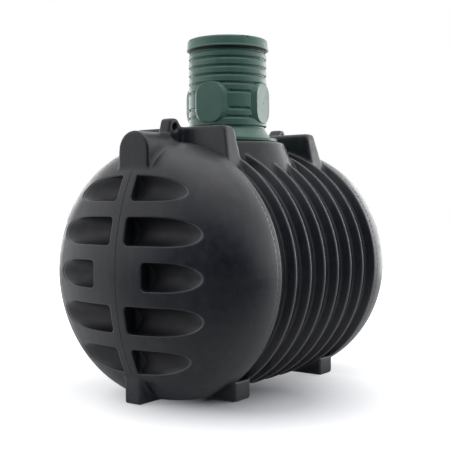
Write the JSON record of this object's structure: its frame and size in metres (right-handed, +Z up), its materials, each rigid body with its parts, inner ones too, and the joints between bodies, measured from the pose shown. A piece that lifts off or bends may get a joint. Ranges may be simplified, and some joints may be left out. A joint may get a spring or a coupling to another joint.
{
  "type": "septic tank",
  "caption": "Horizontal ribbed plastic septic tank with domed ends, moulded feet, lifting lugs and a green access riser with lid.",
  "frame": {"origin": "floor level at the middle of the tank footprint, under the riser axis", "axes": "+Z up, +Y along the tank from the near end to the far end, +X to the side"},
  "size_m": [1.8, 2.4904, 2.553],
  "materials": {
    "tank_black": "rotomoulded semi-gloss skin",
    "riser_green": "rotomoulded satin skin",
    "seal_rubber": "matt rubber"
  },
  "bodies": {
    "root": {"barrel": "tank_black", "near_end": "tank_black", "far_end": "tank_black", "turret": "tank_black", "near_fin": "tank_black", "far_fin": "tank_black", "near_lug": "tank_black", "far_lug": "tank_black", "near_housing": "tank_black", "far_housing": "tank_black", "near_foot": "tank_black", "far_foot": "tank_black", "near_keel": "tank_black", "far_keel": "tank_black", "joint_ring": "seal_rubber", "riser_flange": "riser_green", "riser_cone": "riser_green", "riser_tube": "riser_green", "pad_near": "riser_green", "pad_left": "riser_green", "pad_far": "riser_green", "pad_right": "riser_green", "lid_cover": "riser_green", "lid_skirt": "riser_green", "lid_gasket": "seal_rubber", "lid_grips": "riser_green"}
  },
  "joints": []
}
